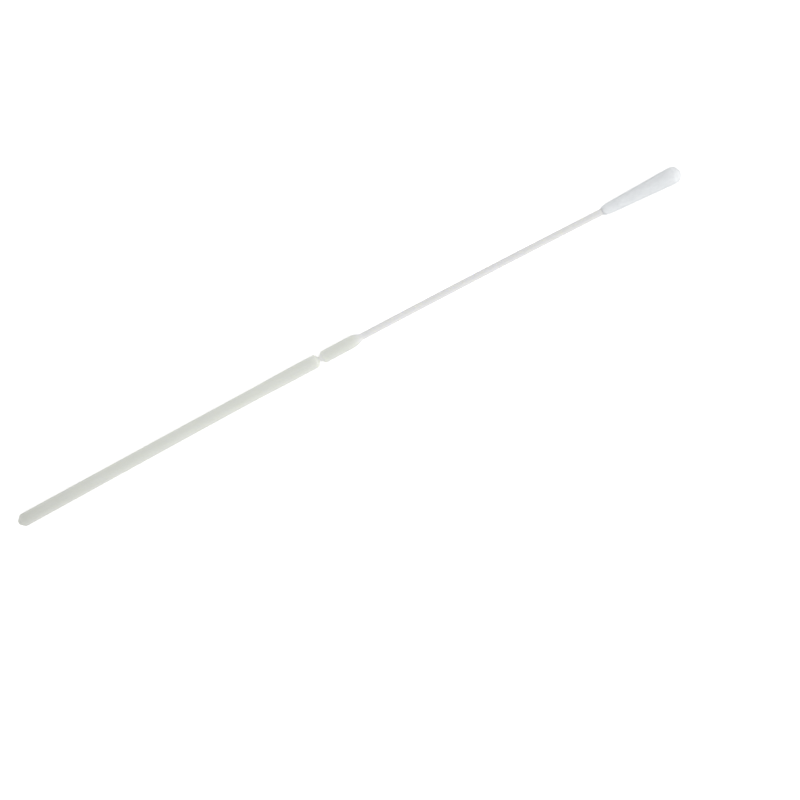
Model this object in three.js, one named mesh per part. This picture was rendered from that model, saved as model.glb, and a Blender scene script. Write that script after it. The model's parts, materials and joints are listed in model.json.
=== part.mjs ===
// Flocked specimen swab with a snap-off neck: one moulded plastic stick and the nylon flock on its tip.
//
// Millimetres, +Z up. The swab lies at rest on the plane z = 0 with its length along X: the butt of the
// handle at -X, the flocked nose at +X and the origin at the bottom centre of the bounding box.
//
// Every outline is drawn in (radius, along): "along" is the distance from the butt, measured on the
// stick's centreline. Revolving it gives a straight solid, and the solid is then laid on the shallow
// bow that such a slim moulding has.

import * as THREE from 'three';

// ---- Handle: from the butt to the root of the break groove ----

const HANDLE_LENGTH = 68.95;
const BUTT_FLAT_DIAMETER = 0.8;
const BUTT_CHAMFER_LENGTH = 0.95;
const BUTT_DIAMETER = 2.76;
const WAIST_DIAMETER = 2.58;
const WAIST_ALONG = 52.0;
const FLARE_DIAMETER = 2.8;
const FLARE_RISE_LENGTH = 12.5;

// ---- Break groove: a V all round the stick, steeper on the handle's side ----

const NECK_DIAMETER = 1.0;
const ROOT_WIDTH = 0.16;
const HANDLE_WALL_RUN = 0.6;
const COLLAR_WALL_RUN = 0.9;

// ---- Collar, shoulder and slim shaft ----

const COLLAR_DIAMETER = 2.58;
const COLLAR_LENGTH = 7.25;
const SHOULDER_RADIUS = 4.0;
const SHOULDER_FILLET_RADIUS = 1.0;
const SHAFT_DIAMETER = 1.4;

// ---- Club: the end of the stick that carries the flock ----

const STICK_LENGTH = 150.34;
const CLUB_LENGTH = 15.3;
const CLUB_NOSE_DIAMETER = 2.56;

// ---- Flock: short fibres that stand on a film of glue, and lie back over the shaft where they start ----

const FIBRE_LENGTH = 0.45;
const GLUE_FILM = 0.03;
const FLOCK_START_RADIUS = 5.0;

// ---- Bow: the centreline is straight, then a shallow arc, then straight again ----

const BOW_START = 34.0;
const BOW_LENGTH = 91.0;
const BOW_TURN = THREE.MathUtils.degToRad(1.6);

// ---- Facets ----

const SIDES = 24;
const ARC_DIVISIONS = 4;
const LONGEST_FACET = 8.0;

// ---- Sizes that follow from the ones above ----

const CLUB_START = STICK_LENGTH - CLUB_LENGTH;
const CLUB_NOSE_RADIUS = CLUB_NOSE_DIAMETER / 2;
const CLUB_NOSE_CENTRE = STICK_LENGTH - CLUB_NOSE_RADIUS;
const SHAFT_RADIUS = SHAFT_DIAMETER / 2;
const COLLAR_RADIUS = COLLAR_DIAMETER / 2;
const FLARE_END = HANDLE_LENGTH - ROOT_WIDTH / 2 - HANDLE_WALL_RUN;
const FLARE_START = WAIST_ALONG + FLARE_RISE_LENGTH;
const FLOCK_GROWTH = GLUE_FILM + FIBRE_LENGTH;

// Half-angle of the cone that starts on the shaft and runs tangent into the club's round nose.
const clubTaper = (() => {
  const reach = CLUB_NOSE_CENTRE - CLUB_START;
  return Math.asin(CLUB_NOSE_RADIUS / Math.hypot(reach, SHAFT_RADIUS)) - Math.atan2(SHAFT_RADIUS, reach);
})();

// ---- Outlines ----

// The club's cone and nose, all moved outwards by the same growth, up to the point on the axis.
function addClub(outline, growth) {
  const startRadius = SHAFT_RADIUS + growth * Math.cos(clubTaper);
  const startAlong = CLUB_START - growth * Math.sin(clubTaper);
  outline.lineTo(startRadius, startAlong);
  outline.absarc(0, CLUB_NOSE_CENTRE, CLUB_NOSE_RADIUS + growth, -clubTaper, Math.PI / 2, false);
}

// The collar's convex shoulder and the concave fillet that leads it into the shaft, tangent all through.
function addShoulder(outline) {
  const start = HANDLE_LENGTH + COLLAR_LENGTH;
  const shoulderCentre = new THREE.Vector2(COLLAR_RADIUS - SHOULDER_RADIUS, start);
  const filletRadialPlace = SHAFT_RADIUS + SHOULDER_FILLET_RADIUS;
  const centreDistance = SHOULDER_RADIUS + SHOULDER_FILLET_RADIUS;
  const radialPart = filletRadialPlace - shoulderCentre.x;
  const alongPart = Math.sqrt(centreDistance ** 2 - radialPart ** 2);
  const turn = Math.atan2(alongPart, radialPart);
  outline.absarc(shoulderCentre.x, start, SHOULDER_RADIUS, 0, turn, false);
  outline.absarc(filletRadialPlace, start + alongPart, SHOULDER_FILLET_RADIUS, Math.PI + turn, Math.PI, true);
}

function stickOutline() {
  const rootHalf = ROOT_WIDTH / 2;
  const flareMiddle = WAIST_ALONG + FLARE_RISE_LENGTH / 2;
  const outline = new THREE.Path();
  outline.moveTo(0, 0);
  outline.lineTo(BUTT_FLAT_DIAMETER / 2, 0);
  outline.lineTo(BUTT_DIAMETER / 2, BUTT_CHAMFER_LENGTH);
  outline.lineTo(WAIST_DIAMETER / 2, WAIST_ALONG);
  outline.bezierCurveTo(
    WAIST_DIAMETER / 2, flareMiddle,
    FLARE_DIAMETER / 2, flareMiddle,
    FLARE_DIAMETER / 2, FLARE_START,
  );
  outline.lineTo(FLARE_DIAMETER / 2, FLARE_END);
  outline.lineTo(NECK_DIAMETER / 2, HANDLE_LENGTH - rootHalf);
  outline.lineTo(NECK_DIAMETER / 2, HANDLE_LENGTH + rootHalf);
  outline.lineTo(COLLAR_RADIUS, HANDLE_LENGTH + rootHalf + COLLAR_WALL_RUN);
  addShoulder(outline);
  addClub(outline, 0);
  return outline.getPoints(ARC_DIVISIONS);
}

// A sleeve closed over the nose. Inside, it follows the club across the glue film. Outside, the fibres
// stand square to the club. Over the shaft they thin out to the glue in an arc tangent to the cone.
function flockOutline() {
  const centreDepth = FLOCK_START_RADIUS - FLOCK_GROWTH;
  const arcCentre = new THREE.Vector2(
    SHAFT_RADIUS - centreDepth * Math.cos(clubTaper),
    CLUB_START + centreDepth * Math.sin(clubTaper),
  );
  const glueRadius = SHAFT_RADIUS + GLUE_FILM;
  const mouthAngle = -Math.acos((glueRadius - arcCentre.x) / FLOCK_START_RADIUS);

  const inside = new THREE.Path();
  inside.moveTo(glueRadius, arcCentre.y + FLOCK_START_RADIUS * Math.sin(mouthAngle));
  addClub(inside, GLUE_FILM);

  const outside = new THREE.Path();
  outside.absarc(arcCentre.x, arcCentre.y, FLOCK_START_RADIUS, mouthAngle, -clubTaper, false);
  addClub(outside, FLOCK_GROWTH);
  return [...inside.getPoints(ARC_DIVISIONS).reverse(), ...outside.getPoints(ARC_DIVISIONS)];
}

// ---- Bow ----

// Point and heading of the bowed centreline, which starts along +X and turns towards -Y.
function centrelineAt(along) {
  const bowRadius = BOW_LENGTH / BOW_TURN;
  const before = Math.min(along, BOW_START);
  const after = Math.max(along - BOW_START - BOW_LENGTH, 0);
  const turned = THREE.MathUtils.clamp(along - BOW_START, 0, BOW_LENGTH) / bowRadius;
  const x = before + bowRadius * Math.sin(turned) + after * Math.cos(turned);
  const y = -bowRadius * (1 - Math.cos(turned)) - after * Math.sin(turned);
  return { point: new THREE.Vector3(x, y, 0), heading: -turned };
}

// The same outline with points added, so that its long straights can follow the bow.
function withShortSteps(outline) {
  const points = [outline[0]];
  for (const next of outline.slice(1)) {
    const last = points[points.length - 1];
    const steps = Math.max(1, Math.ceil(last.distanceTo(next) / LONGEST_FACET));
    for (let step = 1; step <= steps; step += 1) {
      points.push(last.clone().lerp(next, step / steps));
    }
  }
  return points;
}

// ---- How it lies at rest ----

// It touches the table in three places: the butt's rim, the start of the flare, and the flock round the
// nose. The bow leans over until the flare comes down to the line between the other two.
const rim = centrelineAt(BUTT_CHAMFER_LENGTH).point;
const chord = centrelineAt(CLUB_NOSE_CENTRE).point.sub(rim);
const chordTurn = Math.atan2(chord.y, chord.x);
const flare = centrelineAt(FLARE_START).point.sub(rim).applyAxisAngle(new THREE.Vector3(0, 0, 1), -chordTurn);
const noseRise = CLUB_NOSE_RADIUS + FLOCK_GROWTH - BUTT_DIAMETER / 2;
const gapUnderFlare = BUTT_DIAMETER / 2 + (noseRise * flare.x) / chord.length() - FLARE_DIAMETER / 2;
const lean = Math.asin(gapUnderFlare / flare.y);
const pitch = Math.asin(noseRise / chord.length());

// ---- Solids ----

// Revolves an outline, with a flat facet on the side that the lean turns straight down, and lays each
// of its rings square on the bowed centreline.
function revolveOnBow(outline) {
  const firstCorner = lean + Math.PI / SIDES;
  const geometry = new THREE.LatheGeometry(withShortSteps(outline), SIDES, firstCorner);
  const positions = geometry.attributes.position;
  const vertex = new THREE.Vector3();
  for (let index = 0; index < positions.count; index += 1) {
    vertex.fromBufferAttribute(positions, index);
    const { point, heading } = centrelineAt(vertex.y);
    const x = point.x - vertex.x * Math.sin(heading);
    const y = point.y + vertex.x * Math.cos(heading);
    positions.setXYZ(index, x, y, -vertex.z);
  }
  geometry.computeVertexNormals();
  return geometry;
}

function namedMesh(name, outline, look) {
  const mesh = new THREE.Mesh(revolveOnBow(outline), new THREE.MeshStandardMaterial(look));
  mesh.name = name;
  return mesh;
}

// ---- The swab ----

const bowed = new THREE.Group();
bowed.add(namedMesh('stick', stickOutline(), { color: 0xdadcd6, roughness: 0.45, metalness: 0 }));
bowed.add(namedMesh('flocked_tip', flockOutline(), { color: 0xe6e9ec, roughness: 0.95, metalness: 0 }));
bowed.rotation.z = -chordTurn;

const swab = new THREE.Group();
swab.add(bowed);
swab.rotation.x = -lean;
swab.rotation.y = -pitch;

const box = new THREE.Box3().setFromObject(swab, true);
const middle = box.getCenter(new THREE.Vector3());
swab.position.set(-middle.x, -middle.y, -box.min.z);
swab.updateMatrixWorld(true);

export default swab;
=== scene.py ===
"""Flocked specimen swab: the moulded stick, the flock on its tip and the stage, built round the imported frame.

Metres, +Z up. The swab lies along X with its butt at -X, on the plane z = 0. Each shape is first worked
out straight, in (along, side, up): "along" runs from the butt on the stick's centreline. It is then laid
on the shallow bow that the moulding has, and turned to lie at rest.
"""

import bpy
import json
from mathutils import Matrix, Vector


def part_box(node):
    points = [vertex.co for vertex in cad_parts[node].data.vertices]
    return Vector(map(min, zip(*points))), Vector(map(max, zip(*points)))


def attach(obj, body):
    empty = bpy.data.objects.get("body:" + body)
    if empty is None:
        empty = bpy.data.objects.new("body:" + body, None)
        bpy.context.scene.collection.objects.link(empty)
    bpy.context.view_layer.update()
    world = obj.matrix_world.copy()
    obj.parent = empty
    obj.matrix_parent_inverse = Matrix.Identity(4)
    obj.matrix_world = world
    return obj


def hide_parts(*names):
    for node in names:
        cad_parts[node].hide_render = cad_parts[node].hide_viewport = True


bl_info = {
    "name": "Flocked specimen swab",
    "version": (1, 0, 0),
    "blender": (4, 5, 0),
    "location": "3D View > Sidebar > Swab",
    "description": "Builds a flocked specimen swab with its finishes, lamps and camera",
    "category": "Add Mesh",
}

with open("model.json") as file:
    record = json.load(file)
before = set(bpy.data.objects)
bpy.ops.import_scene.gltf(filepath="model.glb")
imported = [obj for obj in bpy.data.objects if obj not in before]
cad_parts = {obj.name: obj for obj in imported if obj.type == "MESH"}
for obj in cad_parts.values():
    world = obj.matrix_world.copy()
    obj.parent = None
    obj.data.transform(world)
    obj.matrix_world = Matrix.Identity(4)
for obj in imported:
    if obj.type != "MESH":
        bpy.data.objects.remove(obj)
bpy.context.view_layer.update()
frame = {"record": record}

import json
from functools import reduce

import bpy
import numpy as np
from bpy.props import FloatProperty, FloatVectorProperty, IntProperty, PointerProperty
from bpy.types import Operator, Panel, PropertyGroup

MM = 0.001
BODY = "root"

# How finely the shapes are cut: the longest step along an outline, and the points round it.
STICK_STEP = 0.5 * MM
STICK_ROUND = 96
NAP_STEP = 0.07 * MM
NAP_INNER_STEP = 0.4 * MM
NAP_ROUND = 168
ROOT_STEP = 0.1 * MM
COARSE_STEP = 1.0 * MM
STICK_SLOT, FLOCK_SLOT = (material["slot"] for material in frame["record"]["materials"])
BAKE_MAP = "OFBake"

# Painted light: the base colour is made paler where light comes through thin plastic, as (millimetres past the
# place, how much of it).
GROOVE_PAINTED_GLOW = ((-5.0, 0.0), (-2.2, 0.1), (-0.7, 0.45), (0.0, 1.0), (0.4, 1.0), (0.8, 0.0))
SHOULDER_PAINTED_GLOW = ((-1.8, 0.0), (-0.4, 0.18), (1.3, 0.2), (2.4, 0.6), (3.2, 0.0))

# The bake map's width holds a fibre's place along the tip and, added to it, a shade of the fibre's own.
FIBRE_PLACES = 0.9
LEAST_SHADE = 0.02
MOST_SHADE = 0.08

# Unevenness of the finishes, as cells in a metre.
PLASTIC_CLOUDS = 130.0
PLASTIC_STREAKS = 1400.0
MOULD_GRAIN = 9000.0
FLOCK_STIPPLE = 22000.0


# ---- What a user may change ----


def length(name, description, millimetres):
    """A size in metres, given in millimetres."""
    return FloatProperty(
        name=name, description=description, default=millimetres * MM, min=0.0, precision=6, unit="LENGTH"
    )


def angle(name, description, degrees):
    """An angle in radians, given in degrees."""
    return FloatProperty(
        name=name, description=description, default=np.radians(degrees), precision=4, unit="ROTATION"
    )


def share(name, description, default):
    """A number from 0 to 1."""
    return FloatProperty(
        name=name, description=description, default=default, min=0.0, max=1.0, subtype="FACTOR"
    )


def amount(name, description, default, **more):
    """A number, with its least value or its unit where it has one."""
    return FloatProperty(name=name, description=description, default=default, **more)


def colour(name, description, default):
    """A colour given as display values, and kept as linear ones."""
    shown = np.array(default)
    linear = np.where(shown <= 0.04045, shown / 12.92, ((shown + 0.055) / 1.055) ** 2.4)
    return FloatVectorProperty(
        name=name, description=description, default=linear.tolist(), size=3, min=0.0, max=1.0, subtype="COLOR"
    )


class StickSettings(PropertyGroup):
    """Sizes and finish of the moulded stick, from the butt to its end under the flock"""

    handle_length: length("Handle length", "Butt to the middle of the break groove", 68.95)
    butt_flat: length("Butt flat", "Diameter of the flat end face", 0.8)
    butt_chamfer: length("Butt chamfer", "Length of the chamfer round the end face", 0.95)
    butt_diameter: length("Butt diameter", "Handle diameter at its outer end", 2.76)
    waist_diameter: length("Waist diameter", "Handle diameter where it is slimmest", 2.58)
    waist_along: length("Waist place", "Butt to the slimmest part of the handle", 52.0)
    flare_diameter: length("Flare diameter", "Handle diameter beside the break groove", 2.8)
    flare_rise: length("Flare rise", "Length over which the handle widens to the flare", 12.5)
    neck_diameter: length("Neck diameter", "Diameter left at the root of the break groove", 1.0)
    root_width: length("Root width", "Width of the break groove's root", 0.16)
    handle_wall_run: length("Handle wall run", "Length of the groove's wall on the handle's side", 0.6)
    collar_wall_run: length("Collar wall run", "Length of the groove's wall on the collar's side", 0.9)
    collar_diameter: length("Collar diameter", "Diameter of the collar past the groove", 2.58)
    collar_length: length("Collar length", "Middle of the groove to the start of the shoulder", 7.25)
    shoulder_radius: length("Shoulder radius", "Radius of the collar's convex shoulder", 4.0)
    fillet_radius: length("Fillet radius", "Radius of the fillet into the shaft", 1.0)
    shaft_diameter: length("Shaft diameter", "Diameter of the slim shaft", 1.4)
    stick_length: length("Stick length", "Butt to the end of the stick under the flock", 150.34)
    club_length: length("Club length", "Length of the end that carries the flock", 15.3)
    club_nose_diameter: length("Club nose diameter", "Diameter of the stick's round end", 2.56)
    worn_edge: length("Worn edge", "Reach on each side of an edge over which it is worn round", 0.07)
    worn_rim: length("Worn rim", "Reach on each side of the butt's rim over which it is worn round", 0.22)
    bow_start: length("Bow start", "Butt to the start of the bow", 34.0)
    bow_length: length("Bow length", "Length of the bowed part", 91.0)
    bow_turn: angle("Bow turn", "How far the stick turns over the bow", 1.6)
    seam_height: length("Parting line height", "How far the mould's parting line stands proud", 0.012)
    seam_width: length("Parting line width", "Width of the mould's parting line", 0.07)
    seam_roll: angle("Parting line roll", "Turn of the parting line round the stick", 24.0)
    # Painted shade: this colour darkens the handle towards the butt and beside its end face, where less light
    # falls.
    butt_shade_colour: colour(
        "Butt", "Colour at the butt, the end that the mould is filled from", (0.774, 0.779, 0.756)
    )
    butt_shade_fade: length("Butt fade", "Distance over which the butt's colour fades", 18.0)
    thick_colour: colour("Thick plastic", "Colour where the plastic is thick", (0.846, 0.854, 0.831))
    thin_colour: colour("Thin plastic", "Colour where the plastic is thin", (0.860, 0.860, 0.861))
    roughness: share("Roughness", "Roughness of the moulded surface", 0.36)


class FlockSettings(PropertyGroup):
    """Sizes and finish of the flock"""

    fibre_length: length("Fibre length", "Length of a fibre from the glue to its end", 0.45)
    glue_film: length("Glue film", "Thickness of the film that holds the fibres", 0.03)
    start_radius: length("Flock start", "Radius of the curve in which the flock thins out", 5.0)
    fibre_diameter: length("Fibre diameter", "Thickness of one fibre", 0.027)
    fibre_count: IntProperty(
        name="Fibres", description="Number of fibres", default=64000, min=1000, max=90000
    )
    lean: angle("Lean", "How far the fibres of a tuft lean over together", 13.0)
    stray: angle("Stray", "How far a single fibre leans out of its tuft", 6.0)
    tuft: length("Tuft size", "Size of the tufts that the fibres gather in", 0.42)
    tuft_height: share("Tuft height", "Share of the fibres' length by which the tufts rise and fall", 0.1)
    rim_height: share("Rim height", "Share of the fibres' length that the packed rim stands out", 0.08)
    core_height: share("Core height", "Share of the fibres' length that can't be seen into", 0.88)
    # Painted shade: the colour that stands for the shade deep between the fibres.
    core_shade_colour: colour("Core colour", "Colour deep between the fibres", (0.930, 0.940, 0.948))
    # Painted light: a paler colour at the mouth offsets the shade under the fibres that lie back over the
    # shaft.
    mouth_light_colour: colour("Start colour", "Colour of the fibres near the shaft", (0.946, 0.955, 0.960))
    side_colour: colour("Side colour", "Colour of the fibres along the sides", (0.938, 0.948, 0.955))
    # Painted light: the nose is paler where more light falls on it.
    nose_light_colour: colour("Nose colour", "Colour of the fibres round the nose", (0.980, 0.988, 0.994))


class StageSettings(PropertyGroup):
    """Floor, lamps and camera"""

    camera_height: length("Camera height", "Height of the camera over the floor", 450.0)
    view_width: length("View width", "Width that the camera takes in", 161.7)
    camera_roll: angle("Camera roll", "Turn of the camera about the vertical", -27.94)
    aim_x: amount("Aim X", "Place that the camera stands over", 4.05 * MM, unit="LENGTH")
    aim_y: amount("Aim Y", "Place that the camera stands over", -14.37 * MM, unit="LENGTH")
    sky: amount("Sky", "Level of the light from all round", 0.93, min=0.0)
    key: amount("Key lamp", "Power of the key lamp in watts", 2.0, min=0.0)
    key_size: length("Key lamp size", "Side of the square key lamp", 600.0)
    key_place: FloatVectorProperty(
        name="Key lamp place", description="Middle of the key lamp", default=(0.5, -0.6, 0.16), unit="LENGTH"
    )
    floor_colour: colour("Floor", "Colour of the floor", (0.94, 0.94, 0.94))
    floor_lift: share("Floor lift", "White added to what the camera sees of the floor", 0.32)


# ---- Outlines, as rows of (along, radius) ----


def line(start, end, step):
    """start + t * (end - start), for even t from 0 to 1, at most this step apart."""
    start, end = np.array(start), np.array(end)
    count = max(1, int(np.ceil(np.linalg.norm(end - start) / step)))
    return start + np.linspace(0, 1, count + 1)[:, None] * (end - start)


def arc(centre, radius, first, last, count):
    """centre + radius * (sin a, cos a), for even angles a from first to last. 0 points away from the axis."""
    angles = np.linspace(first, last, count + 1)
    return np.array(centre) + radius * np.stack([np.sin(angles), np.cos(angles)], axis=1)


def bezier(points, count):
    """The cubic curve (1-t)^3 a + 3 t (1-t)^2 b + 3 t^2 (1-t) c + t^3 d."""
    a, b, c, d = np.array(points)
    t = np.linspace(0, 1, count + 1)[:, None]
    return (1 - t) ** 3 * a + 3 * t * (1 - t) ** 2 * b + 3 * t**2 * (1 - t) * c + t**3 * d


def eased(corners, reach, step):
    """Straight lines through the corners. Each inner corner c is worn round by the parabola
    (1-t)^2 p + 2 t (1-t) c + t^2 q between the points p and q at its reach before and after it."""
    corners = np.array(corners)
    worn_steps = 6
    t = np.linspace(0, 1, worn_steps + 1)[:, None]
    runs, last = [], corners[0]
    for before, corner, after, size in zip(corners, corners[1:], corners[2:], reach):
        p = corner + size * (before - corner) / np.linalg.norm(before - corner)
        q = corner + size * (after - corner) / np.linalg.norm(after - corner)
        runs += [line(last, p, step), (1 - t) ** 2 * p + 2 * t * (1 - t) * corner + t**2 * q]
        last = q
    return joined([*runs, line(last, corners[-1], step)])


def joined(runs):
    """Runs of points end to end, without the points that repeat the one before."""
    points = np.vstack(runs)
    moved = np.linalg.norm(np.diff(points, axis=0), axis=1) > 1e-9
    return points[np.concatenate([[True], moved])]


def club_taper(s):
    """Half-angle of the cone that starts on the shaft and runs tangent into the club's round nose."""
    nose, shaft = s.club_nose_diameter / 2, s.shaft_diameter / 2
    reach = s.club_length - nose
    return np.arcsin(nose / np.hypot(reach, shaft)) - np.arctan2(shaft, reach)


def club_outline(s, growth, step):
    """The club's cone and round nose, all moved outwards by growth, up to the axis."""
    taper, shaft, nose = club_taper(s), s.shaft_diameter / 2, s.club_nose_diameter / 2
    start = (s.stick_length - s.club_length - growth * np.sin(taper), shaft + growth * np.cos(taper))
    fewest = 8
    count = max(fewest, int(np.ceil((nose + growth) * np.pi / 2 / step)))
    round_end = arc((s.stick_length - nose, 0.0), nose + growth, -taper, np.pi / 2, count)
    return joined([line(start, round_end[0], step), round_end])


def stick_outline(s, step):
    """From the middle of the butt to the axis at the nose: flat, chamfer, waist, S-curve to the flare, break
    groove, collar, convex shoulder with a tangent fillet, shaft, club."""
    butt, waist, flare = s.butt_diameter / 2, s.waist_diameter / 2, s.flare_diameter / 2
    neck, collar, shaft = s.neck_diameter / 2, s.collar_diameter / 2, s.shaft_diameter / 2
    groove, root = s.handle_length, s.root_width / 2
    flare_start = s.waist_along + s.flare_rise
    flare_middle = (s.waist_along + flare_start) / 2
    shoulder = groove + s.collar_length
    handle = eased(
        [(0, 0), (0, s.butt_flat / 2), (s.butt_chamfer, butt), (s.waist_along, waist)],
        [s.worn_edge, s.worn_rim],
        step,
    )
    rise = bezier(
        [(s.waist_along, waist), (flare_middle, waist), (flare_middle, flare), (flare_start, flare)],
        int(np.ceil(s.flare_rise / step)),
    )
    groove_walls = eased(
        [
            (flare_start, flare),
            (groove - root - s.handle_wall_run, flare),
            (groove - root, neck),
            (groove + root, neck),
            (groove + root + s.collar_wall_run, collar),
            (shoulder, collar),
        ],
        [s.worn_edge, root / 2, root / 2, s.worn_edge],
        step,
    )
    outwards = shaft + s.fillet_radius - (collar - s.shoulder_radius)
    forwards = np.sqrt((s.shoulder_radius + s.fillet_radius) ** 2 - outwards**2)
    turn = np.arctan2(forwards, outwards)
    convex_steps, hollow_steps = 24, 12
    convex = arc((shoulder, collar - s.shoulder_radius), s.shoulder_radius, 0, turn, convex_steps)
    hollow_centre = (shoulder + forwards, shaft + s.fillet_radius)
    hollow = arc(hollow_centre, s.fillet_radius, turn + np.pi, np.pi, hollow_steps)
    shaft_run = line(hollow[-1], (s.stick_length - s.club_length, shaft), step)
    return joined([handle, rise, groove_walls, convex, hollow, shaft_run, club_outline(s, 0.0, step)])


def flock_start(s, f, part, step):
    """The arc in which the flock thins out over the shaft, at this part of its fibres' length: from the glue,
    tangent to the cone. Arcs of different parts have the same centre."""
    taper, shaft = club_taper(s), s.shaft_diameter / 2
    depth = f.start_radius - f.glue_film - f.fibre_length
    centre = (s.stick_length - s.club_length + depth * np.sin(taper), shaft - depth * np.cos(taper))
    radius = f.start_radius - (1 - part) * f.fibre_length
    mouth = -np.arccos((shaft + f.glue_film - centre[1]) / radius)
    return arc(centre, radius, mouth, -taper, int(np.ceil(-mouth * radius / step)))


def flock_outline(s, f, part, step):
    """The flock at this part of its fibres' length: its start, and then the club, grown to that part."""
    growth = f.glue_film + part * f.fibre_length
    return joined([flock_start(s, f, part, step), club_outline(s, growth, step)])


def flock_mouth(s, f):
    """Place along the shaft where the ends of the first fibres come down to the glue."""
    return flock_start(s, f, 1.0, COARSE_STEP)[0, 0]


def from_mouth(along, s, f):
    """How far these places are from the flock's mouth, 0, to the end of the stick, 1."""
    mouth = flock_mouth(s, f)
    return ((along - mouth) / (s.stick_length - mouth)).clip(0, 1)


# ---- From the straight shape to its place at rest ----


def on_bow(points, s):
    """Lays (along, side, up) on the bowed centreline. It is straight, then an arc of a circle that turns
    towards -Y, then straight again, and the side and up of each point stay square to it."""
    along, side, up = np.moveaxis(points, -1, 0)
    radius = s.bow_length / s.bow_turn
    before = np.minimum(along, s.bow_start)
    after = np.maximum(along - s.bow_start - s.bow_length, 0)
    turned = np.clip(along - s.bow_start, 0, s.bow_length) / radius
    x = before + radius * np.sin(turned) + after * np.cos(turned)
    y = -radius * (1 - np.cos(turned)) - after * np.sin(turned)
    return np.stack([x + side * np.sin(turned), y + side * np.cos(turned), up], axis=-1)


def turn_about(axis, angle_):
    """Rotation matrix about X, Y or Z."""
    c, n = np.cos(angle_), np.sin(angle_)
    one, two = [(1, 2), (2, 0), (0, 1)][axis]
    matrix = np.eye(3)
    matrix[[one, one, two, two], [one, two, one, two]] = c, -n, n, c
    return matrix


def rest(s, flock):
    """Rotation and shift that lay the bowed swab on the table. It touches at the butt's rim, at the start of
    the flare and at the flock round the nose, so the bow leans until the flare comes down to the other two.
    The shift puts the middle of its box over the origin and its lowest point on z = 0."""
    growth = flock.glue_film + flock.fibre_length
    nose = s.club_nose_diameter / 2
    places = [s.butt_chamfer, s.stick_length - nose, s.waist_along + s.flare_rise]
    rim, tip, flare = on_bow(np.array([[place, 0.0, 0.0] for place in places]), s)
    chord = tip - rim
    chord_turn = np.arctan2(chord[1], chord[0])
    flare = turn_about(2, -chord_turn) @ (flare - rim)
    rise = nose + growth - s.butt_diameter / 2
    gap = s.butt_diameter / 2 + rise * flare[0] / np.linalg.norm(chord) - s.flare_diameter / 2
    lean, pitch = np.arcsin(gap / flare[1]), np.arcsin(rise / np.linalg.norm(chord))
    turn = turn_about(0, -lean) @ turn_about(1, -pitch) @ turn_about(2, -chord_turn)
    outlines = np.vstack([stick_outline(s, COARSE_STEP), flock_outline(s, flock, 1.0, COARSE_STEP)])
    outside = on_bow(revolved(outlines, round_angles(STICK_ROUND)), s) @ turn.T
    low, high = outside.reshape(-1, 3).min(axis=0), outside.reshape(-1, 3).max(axis=0)
    return turn, -np.array([(low[0] + high[0]) / 2, (low[1] + high[1]) / 2, low[2]])


def at_rest(points, s, flock):
    """Takes (along, side, up) on the straight swab to its place on the table."""
    turn, shift = rest(s, flock)
    return on_bow(points, s) @ turn.T + shift


# ---- Surfaces ----


def round_angles(count, crowding=0.0, roll=0.0):
    """count angles round a circle: a = u - crowding / 2 * sin(2 u) for even u, so that they crowd where u is
    0 and half a turn, then turned by roll."""
    u = np.arange(count) * 2 * np.pi / count
    return u - crowding / 2 * np.sin(2 * u) + roll


def revolved(outline, angles, proud=0.0):
    """(along, (radius + proud) * cos a, (radius + proud) * sin a), a row for each point of the outline."""
    radius = outline[:, 1:] + proud
    along = np.broadcast_to(outline[:, :1], (len(outline), len(angles)))
    return np.stack([along, radius * np.cos(angles), radius * np.sin(angles)], axis=-1)


def lengths_along(outline):
    """Distance to each point of the outline, measured on it from the first."""
    return np.concatenate([[0.0], np.cumsum(np.linalg.norm(np.diff(outline, axis=0), axis=1))])


def new_object(name, points, faces, corner_map, attributes=None):
    """A smooth-shaded object at the origin. faces is a list of arrays of vertex numbers, one array for each
    number of corners, and corner_map the bake map's place for each corner in the same order."""
    mesh = bpy.data.meshes.new(name)
    sizes = np.concatenate([np.full(len(part), part.shape[1]) for part in faces])
    corners = np.concatenate([part.ravel() for part in faces])
    mesh.vertices.add(len(points))
    mesh.vertices.foreach_set("co", points.astype(np.float32).ravel())
    mesh.loops.add(len(corners))
    mesh.loops.foreach_set("vertex_index", corners.astype(np.int32))
    mesh.polygons.add(len(sizes))
    mesh.polygons.foreach_set("loop_start", np.concatenate([[0], np.cumsum(sizes)[:-1]]).astype(np.int32))
    mesh.polygons.foreach_set("use_smooth", np.ones(len(sizes), bool))
    layer = mesh.uv_layers.new(name=BAKE_MAP)
    layer.uv.foreach_set("vector", corner_map.astype(np.float32).ravel())
    for title, values in (attributes or {}).items():
        mesh.attributes.new(title, "FLOAT", "POINT").data.foreach_set("value", values.astype(np.float32))
    mesh.update(calc_edges=True)
    if mesh.validate():
        raise RuntimeError(f"{name}: its mesh has faces that can't be used")
    made = bpy.data.objects.new(name, mesh)
    bpy.context.scene.collection.objects.link(made)
    return made


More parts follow.
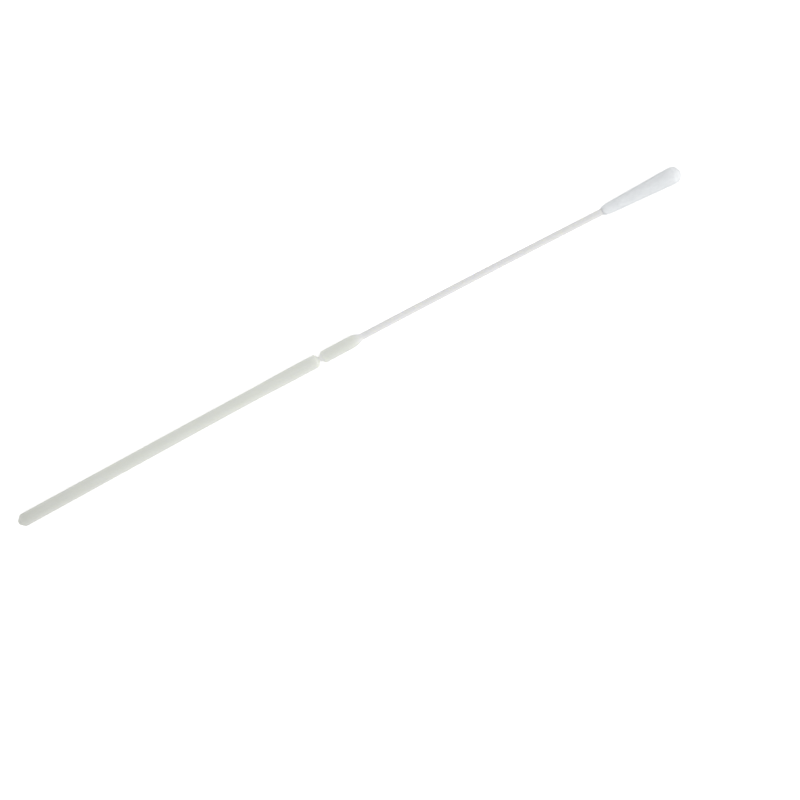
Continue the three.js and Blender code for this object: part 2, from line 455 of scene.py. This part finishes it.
def closed_surface(name, grid, poles, distance, cuts, attributes):
    """A closed surface from rings of points: quads between neighbouring rings and a fan from each end ring to
    its pole. The bake map lays the surface out in strips, one above the other, that end at the cut rings."""
    rings, columns = grid.shape[:2]
    first_pole, last_pole = rings * columns, rings * columns + 1
    ring, column = (index.ravel() for index in np.indices((rings - 1, columns)))
    ring_at = np.stack([ring, ring, ring + 1, ring + 1], axis=1)
    column_at = np.stack([column, column + 1, column + 1, column], axis=1)
    quads = ring_at * columns + column_at % columns
    here = np.arange(columns)
    beside = (here + 1) % columns
    last = (rings - 1) * columns
    fans = [
        np.stack([np.full(columns, first_pole), beside, here], axis=1),
        np.stack([np.full(columns, last_pole), last + here, last + beside], axis=1),
    ]
    bounds = [0, *cuts, rings - 1]
    longest = max(distance[b] - distance[a] for a, b in zip(bounds, bounds[1:]))
    gutter = 0.01

    def place(at_ring, at_column, strip):
        start = distance[np.array(bounds)[strip]]
        u = gutter + (1 - 2 * gutter) * (distance[at_ring] - start) / longest
        v = (strip + gutter + (1 - 2 * gutter) * at_column / columns) / (len(bounds) - 1)
        return np.stack([u, v], axis=-1)

    strip = np.searchsorted(np.array(bounds), ring_at[:, :1], side="right") - 1
    fan_map = []
    for at_ring, own_strip, order in [(0, 0, (0.5, 1, 0)), (rings - 1, len(bounds) - 2, (0.5, 0, 1))]:
        fan_map.append(
            np.stack([place(np.full(columns, at_ring), here + part, own_strip) for part in order], axis=1)
        )
        fan_map[-1][:, 0, 0] += gutter / 2 * (1 if at_ring else -1)
    maps = [place(ring_at, column_at, strip), *fan_map]
    corner_map = np.concatenate([part.reshape(-1, 2) for part in maps])
    points = np.vstack([grid.reshape(-1, 3), poles])
    spread = {}
    for title, values in attributes.items():
        on_grid = np.broadcast_to(values, (rings, columns)).ravel()
        spread[title] = np.concatenate([on_grid, [values[0, 0], values[-1, 0]]])
    return new_object(name, points, [quads, *fans], corner_map, spread)


def fits(made, node, room):
    """Raises an error if the piece's box is further than room from that of the CAD node it stands for."""
    points = np.array([corner[:] for corner in made.bound_box])
    low, high = (np.array(corner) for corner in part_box(node))
    gap = max(np.abs(points.min(axis=0) - low).max(), np.abs(points.max(axis=0) - high).max())
    if gap > room:
        raise RuntimeError(f"{made.name} is {gap / MM:.3f} mm off the box of {node}")


# ---- Smooth random numbers ----


def cloud(points, cell, channels, seed):
    """Smooth random numbers from -1 to 1. Values sit on the corners of cubes of this cell and repeat after
    64 of them. Between corners they are blended by w = 3 t^2 - 2 t^3 along each axis."""
    period = 64
    lattice = np.random.default_rng(seed).uniform(-1, 1, (period, period, period, channels))
    at = points / cell
    base = np.floor(at).astype(int)
    part = at - base
    part = part * part * (3 - 2 * part)
    total = np.zeros((len(points), channels))
    for corner in np.ndindex(2, 2, 2):
        weight = np.prod(np.where(corner, part, 1 - part), axis=1)
        i, j, k = ((base + corner) % period).T
        total += weight[:, None] * lattice[i, j, k]
    return total


# ---- Materials ----


class Value:
    """A socket in a sum: each operation on it adds a Math node and gives that node's result."""

    def __init__(self, finish, socket):
        self.finish, self.socket = finish, socket

    def maths(self, operation, *terms):
        return self.finish.node("ShaderNodeMath", {"operation": operation}, dict(enumerate(terms)))

    def __add__(self, other):
        return self.maths("ADD", self, other)

    def __sub__(self, other):
        return self.maths("SUBTRACT", self, other)

    def __rsub__(self, other):
        return self.maths("SUBTRACT", other, self)

    def __mul__(self, other):
        return self.maths("MULTIPLY", self, other)

    __radd__ = __add__


class Finish:
    """A node tree being built, for a material or the world."""

    def __init__(self, owner):
        self.owner = owner
        owner.use_nodes = True
        self.tree = owner.node_tree
        self.tree.nodes.clear()

    def node(self, kind, settings=None, sockets=None, output=0):
        """Adds a node. settings are its own properties, set first. sockets gives each input by name or number
        a value or a link. Returns the output, as a Value."""
        made = self.tree.nodes.new(kind)
        for name, value in (settings or {}).items():
            setattr(made, name, value)
        for name, value in (sockets or {}).items():
            if isinstance(value, Value):
                self.tree.links.new(value.socket, made.inputs[name])
            else:
                made.inputs[name].default_value = value
        return Value(self, made.outputs[output]) if made.outputs else None

    def mixed(self, factor, first, second):
        """The colour first where factor is 0, and second where it is 1. The node has sockets of the same name
        for each kind of data, so they go by number."""
        return self.node("ShaderNodeMix", {"data_type": "RGBA"}, {0: factor, 6: first, 7: second}, output=2)

    def scaled(self, shade, factor):
        """A colour made lighter or darker by a factor."""
        return self.node("ShaderNodeVectorMath", {"operation": "SCALE"}, {0: shade, "Scale": factor})

    def noise(self, scale, detail=2.0, stretch=(1.0, 1.0, 1.0)):
        """Smooth noise from 0 to 1 in the object's own coordinates, with this many cells in a metre."""
        where = self.node("ShaderNodeTexCoord", output="Object")
        where = self.node("ShaderNodeMapping", None, {"Vector": where, "Scale": stretch})
        return self.node("ShaderNodeTexNoise", None, {"Vector": where, "Scale": scale, "Detail": detail})

    def attribute(self, name):
        """A number that the piece's mesh holds at each point."""
        return self.node("ShaderNodeAttribute", {"attribute_name": name}, output="Fac")

    def seen(self):
        """1 for what is looked at, straight, reflected or through something, and 0 for light on things."""
        kinds = ("Camera", "Glossy", "Transmission")
        rays = (self.node("ShaderNodeLightPath", output=f"Is {kind} Ray") for kind in kinds)
        return reduce(lambda first, second: first.maths("MAXIMUM", first, second), rays)

    def bump(self, height, distance):
        """A normal for a height from 0 to 1 that stands for this distance."""
        return self.node("ShaderNodeBump", None, {"Height": height, "Distance": distance}, output="Normal")

    def surfaced(self, sockets):
        """Ends the tree in a Principled shader with these sockets, and returns the material."""
        shader = self.node("ShaderNodeBsdfPrincipled", None, sockets)
        self.node("ShaderNodeOutputMaterial", None, {"Surface": shader})
        return self.owner


def opaque(shade):
    """A colour setting as the four numbers that a colour socket takes."""
    return (*shade, 1.0)


def moulded_plastic(s):
    """Milky moulded plastic: a touch darker and greener where it is thick, with faint clouds and flow streaks
    along its length, paler worn edges, and the fine grain of a mould's surface."""
    finish = Finish(bpy.data.materials.new("moulded_plastic"))
    clouds = finish.noise(PLASTIC_CLOUDS, 3.0) - 0.5
    streaks = finish.noise(PLASTIC_STREAKS, 2.0, (0.03, 1.0, 1.0))
    grain = finish.noise(MOULD_GRAIN, 2.0)
    base = finish.mixed(finish.attribute("girth"), opaque(s.thin_colour), opaque(s.thick_colour))
    # Painted shade towards the butt and beside its end face.
    base = finish.mixed(finish.attribute("butt"), base, opaque(s.butt_shade_colour))
    tone = 1.0 + clouds * 0.07 + (streaks - 0.5) * 0.05
    # The glow term is painted light, paler where light comes through thin plastic.
    tone = tone + finish.attribute("edge") * 0.02 + finish.attribute("painted_glow") * 0.13
    return finish.surfaced(
        {
            "Base Color": finish.scaled(base, tone),
            "Roughness": s.roughness + clouds * 0.16 + (streaks - 0.5) * 0.1,
            "Normal": finish.bump(grain * 0.6 + streaks * 0.4, 0.006 * MM),
            "IOR": 1.49,
            "Subsurface Weight": 0.7,
            "Subsurface Radius": (1.0, 1.0, 0.85),
            "Subsurface Scale": 0.9 * MM,
        }
    )


def flock_colour_and_painted_light(finish, f, place):
    """The flock's colour by its place from 0, at its mouth, to 1, at the stick's end, with painted light at
    both ends: the paler mouth colour, which offsets the shade under the fibres that lie back over the shaft,
    gives way to the sides' colour over the first tenth, and the paler nose's colour, painted light where more
    light falls on the nose, comes in over the last fifth."""
    sides_rise, nose_from, nose_rise = 10, 0.785, 6.6
    sides = finish.mixed(place * sides_rise, opaque(f.mouth_light_colour), opaque(f.side_colour))
    return finish.mixed((place - nose_from) * nose_rise, sides, opaque(f.nose_light_colour))


def packed_nap(f):
    """The depth of the flock, where the fibres are too close to see between: matte, with painted shade of the
    depth that is deeper where tufts part."""
    finish = Finish(bpy.data.materials.new("packed_nap"))
    stipple = finish.noise(FLOCK_STIPPLE, 2.0)
    # Painted light at the flock's mouth and nose.
    base = flock_colour_and_painted_light(finish, f, finish.attribute("nearness"))
    # Painted shade: how far the colour goes over to the core's shade, more where tufts part.
    depth = 0.35 + (stipple - 0.5) * 0.7 + finish.attribute("tufts") * -0.3
    return finish.surfaced(
        {
            "Base Color": finish.mixed(depth, base, opaque(f.core_shade_colour)),
            "Roughness": 0.92 + (stipple - 0.5) * 0.1,
            "Normal": finish.bump(stipple, 0.03 * MM),
            "Sheen Weight": 0.2,
            "Sheen Roughness": 0.5,
        }
    )


def nylon_fibre(f):
    """White nylon: each fibre has a shade of its own, and painted shade darkens it towards its root. The map's
    width runs along the tip with the fibre's own place added, and its height from a fibre's root to its end."""
    finish = Finish(bpy.data.materials.new("nylon_fibre"))
    where = finish.node("ShaderNodeUVMap", {"uv_map": BAKE_MAP})
    along = finish.node("ShaderNodeSeparateXYZ", None, {"Vector": where}, output="X")
    height = finish.node("ShaderNodeSeparateXYZ", None, {"Vector": where}, output="Y")
    shade = finish.node(
        "ShaderNodeTexNoise", {"noise_dimensions": "1D"}, {"W": along, "Scale": 90.0, "Detail": 2.0}
    )
    middle_shade, places_to_one = (LEAST_SHADE + MOST_SHADE) / 2, 1.1
    # Painted light at the flock's mouth and nose.
    base = flock_colour_and_painted_light(finish, f, (along - middle_shade) * places_to_one)
    # Painted shade towards the fibre's root.
    base = finish.mixed((1 - height) * 0.6, base, opaque(f.core_shade_colour))
    return finish.surfaced(
        {
            "Base Color": finish.scaled(base, 1.0 + (shade - 0.5) * 0.12),
            "Roughness": 0.62,
            "IOR": 1.53,
            "Sheen Weight": 0.1,
        }
    )


def dress(made, material, slot, *stands_for):
    """Gives a piece its material and its body, and hides the CAD nodes it stands for. The slot it is given is
    not used.
    """
    made.data.materials.append(material)
    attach(made, BODY)
    if stands_for:
        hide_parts(*stands_for)


# ---- Pieces ----


def parting_ridge(s, f, outline, angles):
    """How far the parting line stands proud at each point: height * exp(-(distance / half its width)^2), with
    the distance measured round the stick. It runs out at the butt, in the groove and under the flock."""
    along, radius = outline.T
    butt_run, groove_run, flock_run = 0.6 * MM, 1.2 * MM, 1.0 * MM
    off_line = np.abs(np.arcsin(np.sin(angles - s.seam_roll)))
    across = off_line * radius[:, None] / (s.seam_width / 2)
    past_butt = np.clip((along - s.butt_chamfer) / butt_run, 0, 1)
    in_groove = np.clip(1 - np.abs(along - s.handle_length) / groove_run, 0, 1)
    under_flock = np.clip((along - flock_mouth(s, f)) / flock_run, 0, 1)
    shown = past_butt * (1 - in_groove) * (1 - under_flock) * np.sqrt(radius / (s.flare_diameter / 2))
    return s.seam_height * np.exp(-(across**2)) * shown[:, None]


def worn_edges(outline, distance):
    """1 where the outline turns outwards sharply, and exp(-(distance from there / fade)^2) beside it."""
    sharp_turn, fade = 0.05, 0.25 * MM
    heading = np.unwrap(np.arctan2(*np.diff(outline, axis=0).T[::-1]))
    turning = np.concatenate([[0], -np.diff(heading), [0]])
    sharp = distance[turning > sharp_turn]
    return np.exp(-((distance[:, None] - sharp) / fade) ** 2).max(axis=1)


def girth_of(s, outline):
    """1 on the handle. Past the groove, 0 where the stick is as slim as the shaft and 1 where it is as thick
    as the collar."""
    along, radius = outline.T
    slim = s.shaft_diameter / 2
    girth = np.clip((radius - slim) / (s.collar_diameter / 2 - slim), 0, 1)
    return np.where(along < s.handle_length, 1.0, girth)


def painted_butt_shade(s, along):
    """Painted shade: a broad exp(-along / fade) over the handle's end, and a short one beside the end face,
    where less light falls.
    """
    broad, short, short_fade = 0.85, 0.5, 1.5 * MM
    return np.clip(broad * np.exp(-along / s.butt_shade_fade) + short * np.exp(-along / short_fade), 0, 1)


def painted_glow_through(along, place, steps):
    """Painted light: straight between the steps, each (millimetres past the place, painted glow there)."""
    past, painted_glow = np.array(steps).T
    return np.interp(along, place + past * MM, painted_glow)


class SWAB_OT_stick(Operator):
    """Builds the moulded stick, with its worn edges and the mould's parting lines"""

    bl_idname = "swab.stick"
    bl_label = "Moulded stick"

    def execute(self, context):
        s, flock = context.scene.swab_stick, context.scene.swab_flock
        whole = stick_outline(s, STICK_STEP)
        outline, ends = whole[1:-1], whole[[0, -1]]
        along, distance = outline[:, 0], lengths_along(outline)
        crowded = 0.9
        angles = round_angles(STICK_ROUND, crowded, s.seam_roll)
        ridge = parting_ridge(s, flock, outline, angles)
        edge = np.maximum(worn_edges(outline, distance)[:, None], ridge / s.seam_height)
        # Painted light where light comes through the thin plastic by the groove and the shoulder.
        painted_glow = painted_glow_through(along, s.handle_length, GROOVE_PAINTED_GLOW)
        painted_glow += painted_glow_through(along, s.handle_length + s.collar_length, SHOULDER_PAINTED_GLOW)
        quarters = np.searchsorted(distance, distance[-1] * np.array([0.25, 0.5, 0.75]))
        made = closed_surface(
            "stick_moulding",
            at_rest(revolved(outline, angles, ridge), s, flock),
            at_rest(np.column_stack([ends[:, 0], np.zeros((2, 2))]), s, flock),
            distance,
            list(quarters),
            {
                "girth": girth_of(s, outline)[:, None],
                # Painted shade towards the butt.
                "butt": painted_butt_shade(s, along)[:, None],
                "painted_glow": painted_glow[:, None],
                "edge": edge,
            },
        )
        fits(made, "stick", 0.05 * MM)
        dress(made, moulded_plastic(s), STICK_SLOT, "stick")
        return {"FINISHED"}


def tuft_fields(points, f):
    """Height of the tufts, and how far the fibres lean along and round the tip, each from -1 to 1: a broad
    cloud, and a finer one that is weaker."""
    fine_size, broad_weight, fine_weight = 0.45, 0.7, 0.45
    broad = cloud(points, f.tuft, 3, 11)
    fine = cloud(points, f.tuft * fine_size, 3, 12)
    return (broad_weight * broad + fine_weight * fine).clip(-1, 1)


class SWAB_OT_nap(Operator):
    """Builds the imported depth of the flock, a closed sleeve over the end of the stick"""

    bl_idname = "swab.nap"
    bl_label = "Packed nap"

    def execute(self, context):
        s, f = context.scene.swab_stick, context.scene.swab_flock
        outside = flock_outline(s, f, f.core_height, NAP_STEP)
        inside = club_outline(s, f.glue_film, NAP_INNER_STEP)
        outline = joined([inside[::-1][1:], outside])
        on_outside = (np.arange(len(outline)) >= len(outline) - len(outside))[:, None]
        angles = round_angles(NAP_ROUND)
        straight = revolved(outline, angles)
        tufts = tuft_fields(straight.reshape(-1, 3), f)[:, 0].reshape(straight.shape[:2]) * on_outside
        # Each point of the outside moves by a share of the fibres' length. It moves with the tufts, less so
        # near the glue and the nose's pole. Over the shaft it moves out as well, because the fibres that lie
        # back there are packed up to their ends.
        radius, near_pole = outline[:, 1:], 0.5 * MM
        coat = (radius - s.shaft_diameter / 2 - f.glue_film) / f.fibre_length
        over_shaft = outline[:, :1] < s.stick_length - s.club_length
        free = np.where(over_shaft, coat, radius / near_pole).clip(0, 1)
        rim = np.where(over_shaft, 1 - coat / f.core_height, 0.0).clip(0, 1) * on_outside
        depth = f.fibre_length * (f.tuft_height * tufts * free + f.rim_height * rim)
        grid = at_rest(revolved(outline, angles, depth), s, f)
        poles = at_rest(np.array([[inside[-1, 0], 0, 0], [outside[-1, 0], 0, 0]]), s, f)
        near = from_mouth(outline[:, :1], s, f)
        made = closed_surface(
            "flock_nap",
            grid[:-1],
            poles,
            lengths_along(outline[:-1]),
            [int(np.argmax(on_outside)) - 1],
            {"tufts": tufts[:-1], "nearness": near[:-1]},
        )
        fits(made, "flocked_tip", 0.5 * MM)
        dress(made, packed_nap(f), FLOCK_SLOT, "flocked_tip")
        return {"FINISHED"}


def fibre_roots(s, f, count, draw):
    """Place along, radius, lean from square to the axis, and angle round the tip of each fibre's root. Fibres
    are as many on each piece of the glue's surface, and step round by the golden angle. Before the club they
    are fewer, and lie back over the shaft until their ends are on the start's arc."""
    club = club_outline(s, f.glue_film, ROOT_STEP)
    slope = np.arctan2(*np.diff(club, axis=0).T[::-1])
    square = np.concatenate([-slope, [np.pi / 2]]).clip(-club_taper(s), np.pi / 2)
    ends = flock_start(s, f, 1.0, ROOT_STEP)
    glue = s.shaft_diameter / 2 + f.glue_film
    back = np.arccos(((ends[:, 1] - glue) / f.fibre_length).clip(0, 1))
    shaft = np.stack([ends[:, 0] + f.fibre_length * np.sin(back), np.full(len(back), glue)], axis=1)
    path = np.vstack([shaft, club])
    facing = np.concatenate([-back, square])
    crowd = np.concatenate([0.5 + 0.5 * np.cos(back), np.ones(len(club))])
    girth = 2 * np.pi * path[:, 1] * crowd
    area = np.linalg.norm(np.diff(path, axis=0), axis=1) * (girth[1:] + girth[:-1]) / 2
    total = np.concatenate([[0.0], np.cumsum(area)])
    chosen = (np.arange(count) + draw.uniform(0, 1, count)) / count * total[-1]
    along, radius, faces = (np.interp(chosen, total, row) for row in (*path.T, facing))
    golden, jitter = np.pi * (3 - np.sqrt(5)), 0.02
    around = np.arange(count) * golden + draw.uniform(-jitter, jitter, count)
    return along, radius, faces, around


def planted(s, f, draw):
    """Six corners and a tone for each fibre, in order along the tip. A fibre is three-sided, from its root to
    a blunt end that is a little thinner: root + length * t * aim + half its thickness * (cos b, sin b). It
    leans out of square with its tuft, and a little by itself."""
    count = f.fibre_count
    along, radius, facing, around = fibre_roots(s, f, count, draw)
    cosine, sine = np.cos(around), np.sin(around)
    outwards = np.stack([np.sin(facing), np.cos(facing) * cosine, np.cos(facing) * sine], axis=1)
    forwards = np.stack([np.cos(facing), -np.sin(facing) * cosine, -np.sin(facing) * sine], axis=1)
    sideways = np.stack([np.zeros(count), -sine, cosine], axis=1)
    root = np.stack([along, radius * cosine, radius * sine], axis=1)
    fields = tuft_fields(root + outwards * f.core_height * f.fibre_length, f)
    lean = np.tan(f.lean) * fields[:, 1:] + np.tan(f.stray) * draw.normal(0, 1, (count, 2))
    aim = outwards + lean[:, :1] * forwards + lean[:, 1:] * sideways
    aim /= np.linalg.norm(aim, axis=1)[:, None]
    with_tuft, shortest, longest = 0.07, -0.12, 0.05
    reach = f.fibre_length * (1 + with_tuft * fields[:, 0] + draw.uniform(shortest, longest, count))
    half = f.fibre_diameter / 2 * draw.uniform(0.85, 1.15, count)
    end_share = 0.8
    across = np.cross(aim, sideways)
    beyond = np.cross(aim, across)
    turns = draw.uniform(0, 2 * np.pi, count)[:, None] + np.arange(3) * 2 * np.pi / 3
    ring = np.cos(turns)[..., None] * across[:, None] + np.sin(turns)[..., None] * beyond[:, None]
    ring = ring * half[:, None, None]
    ends = root + aim * reach[:, None]
    corners = np.concatenate([root[:, None] + ring, ends[:, None] + end_share * ring], axis=1)
    tone = from_mouth(along, s, f) * FIBRE_PLACES + draw.uniform(LEAST_SHADE, MOST_SHADE, count)
    order = np.argsort(along, kind="stable")
    return at_rest(corners, s, f)[order], tone[order]


class SWAB_OT_fibres(Operator):
    """Plants the fibres of the flock, in bands along the tip"""

    bl_idname = "swab.fibres"
    bl_label = "Fibres"

    def execute(self, context):
        s, f = context.scene.swab_stick, context.scene.swab_flock
        points, tone = planted(s, f, np.random.default_rng(20))
        sides = np.array([[0, 1, 4, 3], [1, 2, 5, 4], [2, 0, 3, 5]])
        caps = np.array([[0, 2, 1], [3, 4, 5]])
        # On the bake map, the sides of a fibre lie beside each other, and its height fills nearly the whole.
        beside = np.array([0.0, 0.006, 0.012, 0.0, 0.006, 0.012])
        height = np.array([0.02, 0.02, 0.02, 0.98, 0.98, 0.98])
        material = nylon_fibre(f)
        bands = 3
        for number, band in enumerate(np.array_split(np.arange(len(points)), bands), start=1):
            first = np.arange(len(band))[:, None, None] * 6
            place = np.stack(np.broadcast_arrays(tone[band][:, None] + beside, height), axis=-1)
            corner_map = np.concatenate([place[:, sides].reshape(-1, 2), place[:, caps].reshape(-1, 2)])
            faces = [(first + sides).reshape(-1, 4), (first + caps).reshape(-1, 3)]
            made = new_object(f"flock_fibres_{number}", points[band].reshape(-1, 3), faces, corner_map)
            dress(made, material, FLOCK_SLOT)
        return {"FINISHED"}


# ---- Stage ----


class SWAB_OT_stage(Operator):
    """Lays the floor, hangs the lamps and stands the camera over the swab"""

    bl_idname = "swab.stage"
    bl_label = "Floor, lamps and camera"

    def execute(self, context):
        g = context.scene.swab_stage
        scene = context.scene
        scene.view_settings.view_transform = "Standard"
        self.floor(g)
        self.sky(scene, g)
        self.lamp("key_lamp", g.key, g.key_size, g.key_place)
        camera = bpy.data.objects.new("camera", bpy.data.cameras.new("camera"))
        camera.data.lens = camera.data.sensor_width * g.camera_height / g.view_width
        camera.location = (g.aim_x, g.aim_y, g.camera_height)
        camera.rotation_euler = (0.0, 0.0, g.camera_roll)
        scene.collection.objects.link(camera)
        scene.camera = camera
        return {"FINISHED"}

    def floor(self, g):
        """A flat square. Where it is looked at it is lit, which keeps the shadow, and has white added."""
        half = 2.0
        corners = np.array([[-half, -half, 0], [half, -half, 0], [half, half, 0], [-half, half, 0]])
        made = new_object("floor", corners, [np.array([[0, 1, 2, 3]])], corners[:, :2] / (2 * half) + 0.5)
        finish = Finish(bpy.data.materials.new("floor"))
        seen = finish.seen()
        paint = finish.mixed(seen, opaque(g.floor_colour), (1.0, 1.0, 1.0, 1.0))
        lit = finish.node("ShaderNodeBsdfDiffuse", None, {"Color": paint})
        lift = seen * g.floor_lift
        white = finish.node("ShaderNodeEmission", None, {"Color": (1.0, 1.0, 1.0, 1.0), "Strength": lift})
        surface = finish.node("ShaderNodeAddShader", None, {0: lit, 1: white})
        finish.node("ShaderNodeOutputMaterial", None, {"Surface": surface})
        made.data.materials.append(finish.owner)

    def sky(self, scene, g):
        """Even light from all round, and plain white where it is looked at past the floor."""
        scene.world = bpy.data.worlds.new("sky")
        finish = Finish(scene.world)
        seen = finish.seen()
        level = seen * (1.0 - g.sky) + g.sky
        light = finish.node("ShaderNodeBackground", None, {"Color": (1.0, 1.0, 1.0, 1.0), "Strength": level})
        finish.node("ShaderNodeOutputWorld", None, {"Surface": light})

    def lamp(self, name, power, size, place):
        """A square lamp of this side that faces the middle of the swab."""
        data = bpy.data.lights.new(name, "AREA")
        data.energy, data.size = power, size
        made = bpy.data.objects.new(name, data)
        made.location = place
        made.rotation_euler = made.location.to_track_quat("Z", "Y").to_euler()
        bpy.context.scene.collection.objects.link(made)


class SWAB_PT_panel(Panel):
    """The swab's pieces and settings"""

    bl_idname = "SWAB_PT_panel"
    bl_label = "Flocked swab"
    bl_space_type = "VIEW_3D"
    bl_region_type = "UI"
    bl_category = "Swab"

    def draw(self, context):
        for made in OPERATORS:
            self.layout.operator(made.bl_idname)
        for name, kind in SETTINGS.items():
            box = self.layout.box()
            for setting in kind.__annotations__:
                box.prop(getattr(context.scene, name), setting)


SETTINGS = {"swab_stick": StickSettings, "swab_flock": FlockSettings, "swab_stage": StageSettings}
OPERATORS = (SWAB_OT_stick, SWAB_OT_nap, SWAB_OT_fibres, SWAB_OT_stage)
CLASSES = (*SETTINGS.values(), *OPERATORS, SWAB_PT_panel)


def register():
    for made in CLASSES:
        bpy.utils.register_class(made)
    for name, kind in SETTINGS.items():
        setattr(bpy.types.Scene, name, PointerProperty(type=kind))


def unregister():
    for name in SETTINGS:
        delattr(bpy.types.Scene, name)
    for made in reversed(CLASSES):
        bpy.utils.unregister_class(made)


def main():
    register()
    bpy.ops.swab.stick()
    bpy.ops.swab.nap()
    bpy.ops.swab.fibres()
    bpy.ops.swab.stage()


if __name__ == "__main__":
    main()
